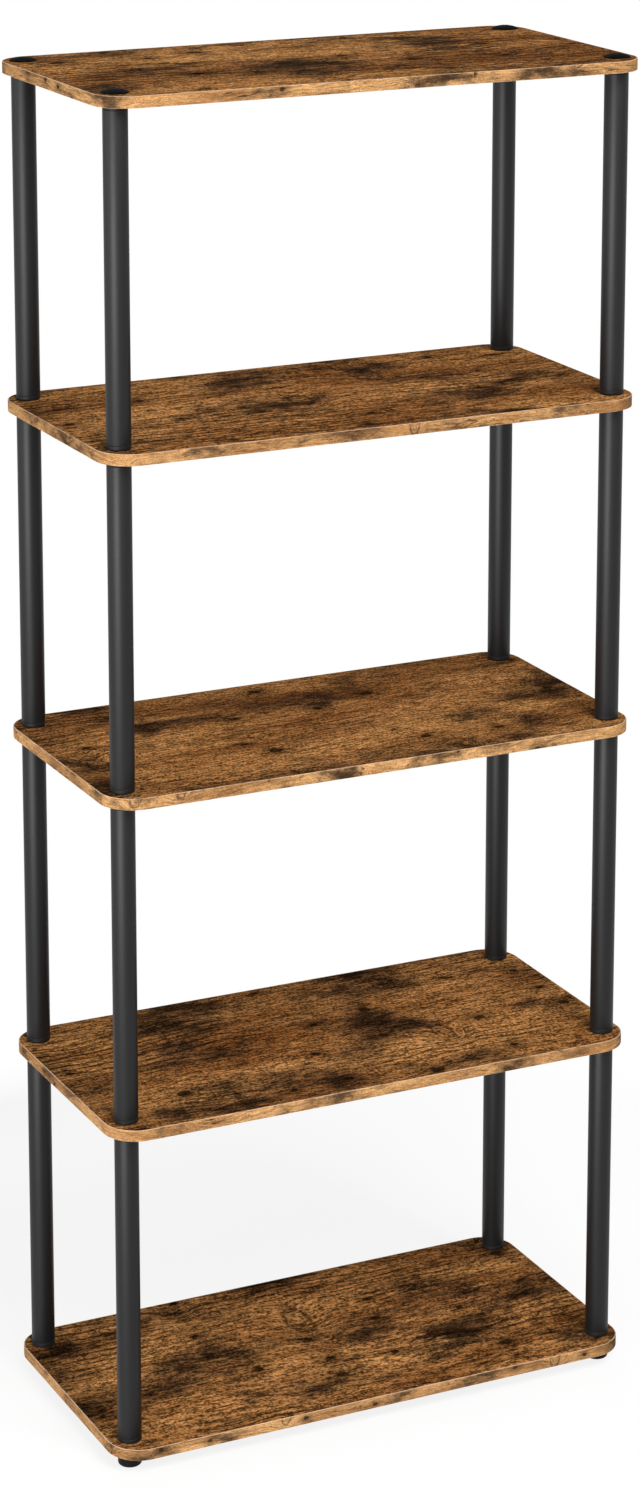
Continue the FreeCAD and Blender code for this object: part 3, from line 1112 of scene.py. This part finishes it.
@dataclass
class ShelfBoard:
    """One board with its holes and the band glued round its edge.

    Attributes:
        number: Number of the board, from 1 at the bottom.
        columns: Axes of the four columns.
        corner_radius: Outer radius of the band at the corners.
        hole_radius: Radius of the holes for the studs.
        edge_break: Width of the broken edge of the board's film.
        band_round: Radius of the band's trimmed edges.
        band_round_steps: Steps of that round.
        band_seam: Gap where the ends of the band meet.
        band_print_scale: How much smaller the print is on the band than on the board.
        band_sheet: How many sheets of film lie between the print of a board and of its band.
        print_step: Step on the endless print from one sheet of film to the next.
    """

    number: int
    columns: list[Vector]
    corner_radius: float = 0.036
    hole_radius: float = 0.0054
    edge_break: float = 0.0001
    band_round: float = 0.0006
    band_round_steps: int = 4
    band_seam: float = 0.0004
    band_print_scale: float = 2.2
    band_sheet: int = 31
    print_step: Vector = field(default_factory=lambda: Vector((1.36, 0.76, 0.85)))

    def build(self, face: bpy.types.Material, edge: bpy.types.Material) -> None:
        """Builds the board and its band."""
        self.build_board(face)
        self.build_band(edge)

    def build_board(self, finish: bpy.types.Material) -> None:
        """Builds the board as a slab with broken edges and four holes.

        Args:
            finish: Material of the board.
        """
        node = f"shelf_board_{self.number}"
        low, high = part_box(node)
        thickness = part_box(f"edge_band_{self.number}")[1].x - high.x
        outline = BoardOutline(high.x, high.y, self.corner_radius - thickness)
        lower_film = 2 * self.number
        upper_film = lower_film + 1
        levels = [(self.edge_break, low.z, lower_film), (0.0, low.z + self.edge_break, lower_film)]
        levels += [(0.0, high.z - self.edge_break, upper_film), (self.edge_break, high.z, upper_film)]
        mesh = PieceMesh()
        rows = []
        for depth, height, film in levels:
            loops = [outline.inset(depth, height)]
            for axis in self.columns:
                hole = circle(axis, self.hole_radius + depth, height)
                loops.append(list(reversed(hole)))
            rows.append([self.add_loop(mesh, loop, film) for loop in loops])
        for lower, upper in zip(rows, rows[1:]):
            for under, over in zip(lower, upper):
                mesh.bridge(under, over)
        self.fill(mesh, rows[0], upward=False)
        self.fill(mesh, rows[-1], upward=True)
        mesh.build(f"board_{self.number}", finish, Slot.BOARD, UNIT_BODY, node)

    def add_loop(self, mesh: PieceMesh, loop: list[Vector], film: int) -> list[int]:
        """Adds a loop of points with their places on a sheet of film, one sheet to a face."""
        start = film * self.print_step
        return [mesh.add_point(spot, Vector((spot.x, spot.y, 0.0)) + start) for spot in loop]

    @staticmethod
    def fill(mesh: PieceMesh, loops: list[list[int]], upward: bool) -> None:
        """Closes a level face that has holes.

        Args:
            mesh: Mesh of the board.
            loops: Vertices of the outline and of each hole.
            upward: Whether the face looks up.
        """
        flat = [number for loop in loops for number in loop]
        for triangle in tessellate_polygon([[mesh.points[number] for number in loop] for loop in loops]):
            corners = [flat[index] for index in triangle]
            first, second, third = (mesh.points[number] for number in corners)
            looks_up = (second - first).cross(third - first).z > 0.0
            mesh.faces.append(tuple(corners if looks_up == upward else reversed(corners)))

    def build_band(self, finish: bpy.types.Material) -> None:
        """Builds the band as a strip that runs round the board from its seam at the back.

        Args:
            finish: Material of the band.
        """
        node = f"edge_band_{self.number}"
        low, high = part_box(node)
        thickness = high.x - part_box(f"shelf_board_{self.number}")[1].x
        outline = BoardOutline(high.x, high.y, self.corner_radius)
        back = Vector((0.0, high.y, 0.0))
        normal = Vector((0.0, 1.0, 0.0))
        half_seam = Vector((self.band_seam / 2.0, 0.0, 0.0))
        stations = [(back - half_seam, normal), *outline.stations(), (back + half_seam, normal)]
        section = self.band_section(thickness, low.z, high.z)
        start = (2 * self.number + self.band_sheet) * self.print_step
        mesh = PieceMesh()
        rows = []
        run = 0.0
        last = back - half_seam
        for spot, outward in stations:
            run += (spot - last).length
            last = spot
            row = []
            for depth, height, across, edge in section:
                point = spot - depth * outward + Vector((0.0, 0.0, height))
                place = self.band_print_scale * Vector((run, across, 0.0)) + start
                row.append(mesh.add_point(point, place, edge))
            rows.append(row)
        count = len(section)
        for before, after in zip(rows, rows[1:]):
            for step in range(count):
                following = (step + 1) % count
                mesh.faces.append((before[step], after[step], after[following], before[following]))
        mesh.faces.append(tuple(rows[0]))
        mesh.faces.append(tuple(reversed(rows[-1])))
        mesh.build(f"band_{self.number}", finish, Slot.BAND, UNIT_BODY, node)

    def band_section(
        self, thickness: float, low: float, high: float
    ) -> list[tuple[float, float, float, float]]:
        """Makes the cross-section of the band.

        Args:
            thickness: Thickness of the strip.
            low: Height of its lower edge.
            high: Height of its upper edge.

        Returns:
            Depth behind the outer face, height, place across the print and edge mask of each
            point, from the inside bottom over the outer face to the inside top. On the band the
            edge mask places the pale trimmed edge, bare plastic with a painted highlight.
        """
        size = self.band_round
        lower = [(thickness, low, 1.0)]
        for step in range(self.band_round_steps + 1):
            done = step / self.band_round_steps
            angle = math.radians(QUARTER_TURN * done)
            depth = size - size * math.sin(angle)
            height = low + size - size * math.cos(angle)
            lower.append((depth, height, 1.0 - done))
        upper = [(depth, low + high - height, edge) for depth, height, edge in reversed(lower)]
        section = []
        across = 0.0
        last = lower[0]
        for point in lower + upper:
            depth, height, edge = point
            across += math.hypot(depth - last[0], height - last[1])
            last = point
            section.append((depth, height, across, edge))
        return section


@dataclass
class ColumnTier:
    """The tubes and plugs that stand on one board.

    Attributes:
        tier: Number of the tier, from 1 at the bottom.
        columns: Axes of the four columns.
        wall: Thickness of the tubes' wall.
        tube_break: Radius of the tubes' ends.
        tube_break_steps: Steps of that round.
        collar_round: Radius of the lower collar's edge.
        seat_break: Width of the collars' chamfer where a tube seats on them.
        rim_break: Width of the upper collar's chamfer under the board.
        collar_wear: How far the upper collar's chamfers are rubbed.
        plug_gap: Room between a plug and its tube.
        plug_chamfer: Width of the chamfer at a plug's inner end.
        bore_radius: Radius of the sockets.
        bore_chamfer: Width of the chamfer at their mouth.
        socket_depth: Depth of the sockets.
    """

    tier: int
    columns: list[Vector]
    wall: float = 0.001
    tube_break: float = 0.0003
    tube_break_steps: int = 3
    collar_round: float = 0.0015
    seat_break: float = 0.0004
    rim_break: float = 0.0003
    collar_wear: float = 0.3
    plug_gap: float = 0.0001
    plug_chamfer: float = 0.001
    bore_radius: float = 0.00515
    bore_chamfer: float = 0.0006
    socket_depth: float = 0.014

    def build(self, paint: bpy.types.Material, plastic: bpy.types.Material) -> None:
        """Builds the tubes and both groups of plugs.

        Args:
            paint: Material of the tubes.
            plastic: Material of the plugs.
        """
        for corner, axis in zip(Corner, self.columns):
            self.build_tube(corner, axis, paint)
        self.build_stud_plugs(plastic)
        self.build_socket_plugs(plastic)

    def tube_box(self) -> Triple:
        """Radius, lower end and upper end of the tier's tubes."""
        low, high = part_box(f"tube_{Corner.LEFT_FRONT.value}_{self.tier}")
        return half_width((low, high)), low.z, high.z

    def build_tube(self, corner: Corner, axis: Vector, finish: bpy.types.Material) -> None:
        """Builds one tube with softly broken ends.

        Args:
            corner: Column of the tube.
            axis: A point on its axis.
            finish: Material of the tube.
        """
        node = f"tube_{corner.value}_{self.tier}"
        radius, low, high = self.tube_box()
        size = self.tube_break
        rings = [Ring(radius - self.wall, low)]
        rings += rounded(radius - size, low + size, size, -QUARTER_TURN, self.tube_break_steps)
        rings += rounded(radius - size, high - size, size, 0.0, self.tube_break_steps)
        rings += [Ring(radius - self.wall, high)]
        mesh = PieceMesh()
        mesh.turn(rings, axis, closed=True)
        mesh.build(f"column_{corner.value}_{self.tier}", finish, Slot.TUBE, UNIT_BODY, node)

    def build_stud_plugs(self, finish: bpy.types.Material) -> None:
        """Builds the plugs in the tubes' lower ends, with collar and threaded stud.

        Args:
            finish: Material of the plugs.
        """
        node = f"stud_plugs_{self.tier}"
        radius, tube_low, _ = self.tube_box()
        low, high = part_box(node)
        board_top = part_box(f"shelf_board_{self.tier}")[1].z
        plug = radius - self.wall - self.plug_gap
        size = self.collar_round
        rings = STUD.rings(low.z, board_top)
        rings += rounded(radius - size, board_top + size, size, -QUARTER_TURN)
        rings += upper_edge(radius, tube_low, self.seat_break)
        rings += [Ring(plug, tube_low), *upper_edge(plug, high.z, self.plug_chamfer), Ring(0.0, high.z)]
        self.build_plugs(f"lower_plugs_{self.tier}", rings, finish, node)

    def build_socket_plugs(self, finish: bpy.types.Material) -> None:
        """Builds the plugs in the tubes' upper ends, with collar and socket.

        Args:
            finish: Material of the plugs.
        """
        node = f"socket_plugs_{self.tier}"
        radius, _, tube_high = self.tube_box()
        low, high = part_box(node)
        plug = radius - self.wall - self.plug_gap
        floor = high.z - self.socket_depth
        rings = [Ring(0.0, low.z), *lower_edge(plug, low.z, self.plug_chamfer), Ring(plug, tube_high)]
        rings += lower_edge(radius, tube_high, self.seat_break, self.collar_wear)
        rings += upper_edge(radius, high.z, self.rim_break, self.collar_wear)
        rings += [Ring(self.bore_radius + self.bore_chamfer, high.z)]
        rings += [Ring(self.bore_radius, high.z - self.bore_chamfer)]
        rings += [Ring(self.bore_radius, floor), Ring(0.0, floor)]
        self.build_plugs(f"upper_plugs_{self.tier}", rings, finish, node)

    def build_plugs(self, name: str, rings: list[Ring], finish: bpy.types.Material, node: str) -> None:
        """Builds one plug on each column as a single piece.

        Args:
            name: Name of the piece.
            rings: Rings of one plug.
            finish: Material of the plugs.
            node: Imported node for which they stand.
        """
        mesh = PieceMesh()
        for axis in self.columns:
            mesh.turn(rings, axis)
        mesh.build(name, finish, Slot.PLUG, UNIT_BODY, node)


@dataclass
class TopCap:
    """Domed cap that clamps the top board to one column.

    Attributes:
        corner: Column on which it sits.
        axis: A point on the column's axis.
        base_break: Width of the chamfer under its rim.
        base_wear: How far that chamfer is rubbed.
        rim_height: Height of the rim under the dome.
        rim_drop: How far below that height the rim's straight side ends.
        rim_inset: How far the dome's first ring is drawn in for a soft edge.
        rim_wear: How far that edge is rubbed.
        dome_steps: Steps of the dome from rim to crown.
    """

    corner: Corner
    axis: Vector
    base_break: float = 0.0003
    base_wear: float = 0.3
    rim_height: float = 0.0012
    rim_drop: float = 0.0003
    rim_inset: float = 0.0002
    rim_wear: float = 0.6
    dome_steps: int = 10

    def build(self, finish: bpy.types.Material) -> None:
        """Builds the cap and its threaded stud.

        Args:
            finish: Material of the cap.
        """
        node = f"cap_{self.corner.value}"
        low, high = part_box(node)
        radius = half_width((low, high))
        board_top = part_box(f"shelf_board_{TIERS + 1}")[1].z
        rings = STUD.rings(low.z, board_top)
        rings += lower_edge(radius, board_top, self.base_break, self.base_wear, self.base_wear)
        rings += self.dome(radius, board_top, high.z)
        mesh = PieceMesh()
        mesh.turn(rings, self.axis)
        mesh.build(f"top_cap_{self.corner.value}", finish, Slot.CAP, UNIT_BODY, node)

    def dome(self, radius: float, base: float, crown: float) -> list[Ring]:
        """Makes the rings of the rim and of the dome, a shallow part of a ball.

        Args:
            radius: Radius of the rim.
            base: Height of the rim's lower edge.
            crown: Height of the dome's middle.

        Returns:
            The rings from the rim to the crown.
        """
        rise = crown - base - self.rim_height
        ball = (radius**2 + rise**2) / (2.0 * rise)
        centre = crown - ball
        rings = [Ring(radius, base + self.rim_height - self.rim_drop, self.rim_wear)]
        for step in range(1, self.dome_steps):
            across = radius * (1.0 - step / self.dome_steps)
            wear = 0.0
            if step == 1:
                across -= self.rim_inset
                wear = self.rim_wear
            rings.append(Ring(across, centre + math.sqrt(ball**2 - across**2), wear))
        rings.append(Ring(0.0, crown))
        return rings


@dataclass
class ScrewFoot:
    """Screwed foot and the pad under it.

    Attributes:
        corner: Column under which it stands.
        axis: A point on the column's axis.
        foot_round: Radius of the foot's lower edge.
        foot_round_steps: Steps of that round.
        top_break: Width of the chamfer at its top.
        top_wear: How far that chamfer is rubbed.
        bore_radius: Radius of the bore for the stud.
        bore_floor: Height of the bore's bottom.
        recess_gap: Room round the pad.
        pad_break: Width of the chamfer at the pad's lower edge.
        pad_wear: How far that chamfer is rubbed.
        tread_count: Number of ring grooves under the pad.
        tread_depth: Depth of those grooves.
        tread_mouth: Half width of a groove's mouth, as a share of the step between grooves.
        tread_root: Half width of a groove's bottom, as a share of that step.
    """

    corner: Corner
    axis: Vector
    foot_round: float = 0.003
    foot_round_steps: int = 8
    top_break: float = 0.0004
    top_wear: float = 0.5
    bore_radius: float = 0.00515
    bore_floor: float = 0.0045
    recess_gap: float = 0.0001
    pad_break: float = 0.0004
    pad_wear: float = 0.5
    tread_count: int = 4
    tread_depth: float = 0.0004
    tread_mouth: float = 0.22
    tread_root: float = 0.12

    def build(self, paint: bpy.types.Material, rubber: bpy.types.Material) -> None:
        """Builds the foot and its pad."""
        self.build_foot(paint)
        self.build_pad(rubber)

    def build_foot(self, finish: bpy.types.Material) -> None:
        """Builds the foot with its round lower edge, bore and recess.

        Args:
            finish: Material of the foot.
        """
        node = f"foot_{self.corner.value}"
        low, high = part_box(node)
        pad_low, pad_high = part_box(f"foot_pad_{self.corner.value}")
        radius = half_width((low, high))
        recess = half_width((pad_low, pad_high)) + self.recess_gap
        size = self.foot_round
        rings = [Ring(0.0, pad_high.z), Ring(recess, pad_high.z), Ring(recess, low.z)]
        rings += rounded(radius - size, low.z + size, size, -QUARTER_TURN, self.foot_round_steps)
        rings += upper_edge(radius, high.z, self.top_break, self.top_wear)
        rings += [Ring(self.bore_radius, high.z), Ring(self.bore_radius, self.bore_floor)]
        rings += [Ring(0.0, self.bore_floor)]
        body = f"foot_{self.corner.value}"
        mesh = PieceMesh()
        mesh.turn(rings, self.axis)
        mesh.build(f"screw_foot_{self.corner.value}", finish, Slot.FOOT, body, node)

    def build_pad(self, finish: bpy.types.Material) -> None:
        """Builds the pad with ring grooves in its tread.

        Args:
            finish: Material of the pad.
        """
        node = f"foot_pad_{self.corner.value}"
        low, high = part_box(node)
        radius = half_width((low, high))
        step = radius / (self.tread_count + 1)
        mouth = self.tread_mouth * step
        root = self.tread_root * step
        top = low.z + self.tread_depth
        rings = [Ring(0.0, low.z)]
        for number in range(1, self.tread_count + 1):
            middle = number * step
            rings += [Ring(middle - mouth, low.z), Ring(middle - root, top)]
            rings += [Ring(middle + root, top), Ring(middle + mouth, low.z)]
        rings += lower_edge(radius, low.z, self.pad_break, self.pad_wear, self.pad_wear)
        rings += [Ring(radius, high.z), Ring(0.0, high.z)]
        body = f"pad_{self.corner.value}"
        mesh = PieceMesh()
        mesh.turn(rings, self.axis)
        mesh.build(f"tread_pad_{self.corner.value}", finish, Slot.PAD, body, node)


@dataclass(frozen=True)
class Softbox:
    """One large soft lamp.

    Attributes:
        name: Name of the lamp.
        azimuth: Direction round the unit in degrees, 0 in front and positive to the right.
        elevation: Height above the horizon in degrees.
        distance: Distance from the middle of the unit.
        width: Width of the lamp.
        height: Height of the lamp.
        power: Power in watts.
    """

    name: str
    azimuth: float
    elevation: float
    distance: float
    width: float
    height: float
    power: float

    def build(self, target: Vector) -> None:
        """Adds the lamp.

        Args:
            target: Place to which the lamp is turned.
        """
        lamp = bpy.data.lights.new(self.name, "AREA")
        lamp.shape = "RECTANGLE"
        lamp.size = self.width
        lamp.size_y = self.height
        lamp.energy = self.power
        turn = math.radians(self.azimuth)
        rise = math.radians(self.elevation)
        level = math.cos(rise)
        away = Vector((math.sin(turn) * level, -math.cos(turn) * level, math.sin(rise)))
        holder = bpy.data.objects.new(self.name, lamp)
        holder.location = target + self.distance * away
        holder.rotation_euler = (-away).to_track_quat("-Z", "Y").to_euler()
        bpy.context.scene.collection.objects.link(holder)


LAMPS = (
    Softbox(
        "side_softbox", azimuth=-50.0, elevation=-1.0, distance=5.5, width=3.4, height=1.1, power=370.0
    ),
    Softbox(
        "left_softbox", azimuth=-100.0, elevation=10.0, distance=5.0, width=2.0, height=2.0, power=45.0
    ),
    Softbox(
        "front_softbox", azimuth=4.0, elevation=47.0, distance=5.0, width=2.6, height=2.2, power=265.0
    ),
    Softbox(
        "back_softbox", azimuth=165.0, elevation=35.0, distance=4.6, width=2.6, height=2.2, power=30.0
    ),
)


@dataclass
class Studio:
    """Floor, light and camera of the picture.

    Attributes:
        floor_side: Side of the square floor.
        floor_colour: Colour of the floor.
        ambient: Light of the surroundings on the unit.
        near_white: Share of plain white that the camera sees on the floor near the unit.
        fade_start: Distance from the unit at which the floor starts to turn white for the camera.
        fade_end: Distance at which it is white.
        eye: Place of the camera.
        yaw: Turn of the view to the right of straight ahead, in degrees.
        pitch: Tilt of the view below the horizon, in degrees.
        lens: Focal length in millimetres.
        sensor: Length of the sensor along the picture's long side, in millimetres.
        rise: Shift of the lens, as a share of the picture's long side.
    """

    floor_side: float = 80.0
    floor_colour: Colour = (0.90, 0.90, 0.90)
    ambient: float = 0.22
    near_white: float = 0.84
    fade_start: float = 0.4
    fade_end: float = 0.95
    eye: Vector = field(default_factory=lambda: Vector((-1.7250, -3.5767, 2.0031)))
    yaw: float = 25.736
    pitch: float = 12.202
    lens: float = 94.4
    sensor: float = 36.0
    rise: float = -0.274

    def build(self) -> None:
        """Builds the whole studio."""
        bpy.context.scene.view_settings.view_transform = "Standard"
        low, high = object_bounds()
        self.build_floor(low.z)
        self.build_world()
        for lamp in LAMPS:
            lamp.build((low + high) / 2.0)
        self.build_camera()

    def build_floor(self, height: float) -> None:
        """Builds the floor, which turns white for the camera away from the unit.

        Args:
            height: Height of the floor.
        """
        half = self.floor_side / 2.0
        corners = [(x * half, y * half, height) for x, y in ((-1, -1), (1, -1), (1, 1), (-1, 1))]
        mesh = bpy.data.meshes.new("studio_floor")
        mesh.from_pydata(corners, [], [(0, 1, 2, 3)])
        mesh.materials.append(self.floor_material())
        floor = bpy.data.objects.new("studio_floor", mesh)
        bpy.context.scene.collection.objects.link(floor)
        floor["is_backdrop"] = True

    def floor_material(self) -> bpy.types.Material:
        """Builds the floor's material.

        Returns:
            A plain pale surface, mixed with white where the camera or a reflection sees it.
        """
        material = bpy.data.materials.new("studio_floor")
        sheet = NodeSheet.cleared(material)
        place = sheet.add("ShaderNodeTexCoord").outputs["Object"]
        away = sheet.add("ShaderNodeVectorMath", {0: place}, operation="LENGTH").outputs["Value"]
        far = sheet.larger(sheet.ramp(away, (self.fade_start, self.fade_end)), self.near_white)
        factor = sheet.times(far, self.background_rays(sheet))
        plain = sheet.add("ShaderNodeBsdfDiffuse", {"Color": as_rgba(self.floor_colour)}).outputs[0]
        white = sheet.add("ShaderNodeEmission", {"Color": as_rgba(WHITE), "Strength": 1.0}).outputs[0]
        mixed = sheet.add("ShaderNodeMixShader", {0: factor, 1: plain, 2: white}).outputs[0]
        sheet.add("ShaderNodeOutputMaterial", {"Surface": mixed})
        return material

    @staticmethod
    def background_rays(sheet: NodeSheet) -> Socket:
        """Marks the rays that see the white background.

        Args:
            sheet: Sheet of a material or of the world.

        Returns:
            1 for rays from the camera, from gloss or through glass, and 0 for all others.
        """
        path = sheet.add("ShaderNodeLightPath").outputs
        mirrored = sheet.larger(path["Is Glossy Ray"], path["Is Transmission Ray"])
        return sheet.larger(path["Is Camera Ray"], mirrored)

    def build_world(self) -> None:
        """Builds even surroundings that are white to the camera and in reflections."""
        world = bpy.data.worlds.new("studio_surroundings")
        sheet = NodeSheet.cleared(world)
        level = sheet.mapped(self.background_rays(sheet), (self.ambient, 1.0))
        values = {"Color": as_rgba(WHITE), "Strength": level}
        light = sheet.add("ShaderNodeBackground", values).outputs[0]
        sheet.add("ShaderNodeOutputWorld", {"Surface": light})
        bpy.context.scene.world = world

    def build_camera(self) -> None:
        """Adds the camera at the viewing angle of the picture."""
        data = bpy.data.cameras.new("picture_camera")
        data.lens = self.lens
        data.sensor_width = self.sensor
        data.shift_y = self.rise
        tilt = math.radians(QUARTER_TURN - self.pitch)
        camera = bpy.data.objects.new("picture_camera", data)
        camera.location = self.eye
        camera.rotation_euler = Euler((tilt, 0.0, math.radians(-self.yaw)))
        bpy.context.scene.collection.objects.link(camera)
        bpy.context.scene.camera = camera


def column_axes() -> list[Vector]:
    """Finds the axes of the four columns.

    Returns:
        A point on each axis, in the order of Corner.
    """
    axes = []
    for corner in Corner:
        low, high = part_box(f"tube_{corner.value}_1")
        axes.append((low + high) / 2.0)
    return axes


def main() -> None:
    """Builds every piece of the unit and the studio round it."""
    logging.basicConfig(level=logging.INFO, format="%(name)s: %(message)s")
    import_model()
    columns = column_axes()
    face = BOARD_PRINT.material()
    band = BAND_PRINT.material()
    tube = TUBE_PAINT.material()
    plug = PLUG_PLASTIC.material()
    cap = CAP_PLASTIC.material()
    foot = FOOT_PAINT.material()
    pad = PAD_RUBBER.material()
    for number in range(1, TIERS + 2):
        ShelfBoard(number, columns).build(face, band)
    for tier in range(1, TIERS + 1):
        ColumnTier(tier, columns).build(tube, plug)
    for corner, axis in zip(Corner, columns):
        TopCap(corner, axis).build(cap)
        ScrewFoot(corner, axis).build(foot, pad)
    Studio().build()


if __name__ == "__main__":
    main()
